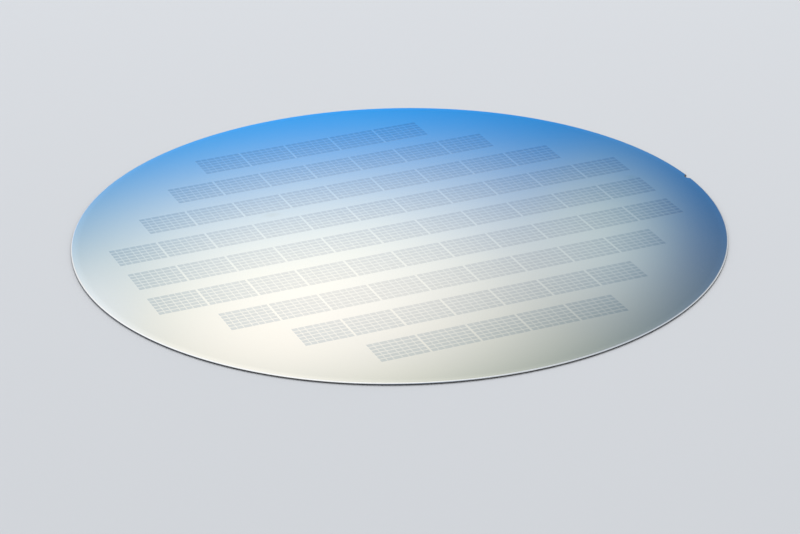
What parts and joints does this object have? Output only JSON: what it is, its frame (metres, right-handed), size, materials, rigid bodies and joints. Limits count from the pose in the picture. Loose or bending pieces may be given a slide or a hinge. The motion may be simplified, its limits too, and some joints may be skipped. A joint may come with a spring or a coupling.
{
  "type": "silicon wafer",
  "caption": "Thin round silicon wafer with a bevelled edge, a small V-notch in the rim and blocks of small dies in straight files on its polished face.",
  "frame": {"origin": "centre of the back face, on the wafer's axis", "axes": "+Z out of the patterned face, along the wafer's axis; the notch is on the -Y side; the files of die blocks run along Y"},
  "size_m": [0.2, 0.2, 0.0007],
  "materials": {
    "silicon": "satin",
    "die_film": "satin"
  },
  "bodies": {
    "root": {"silicon_disc": "silicon", "die_film": "die_film"}
  },
  "joints": []
}
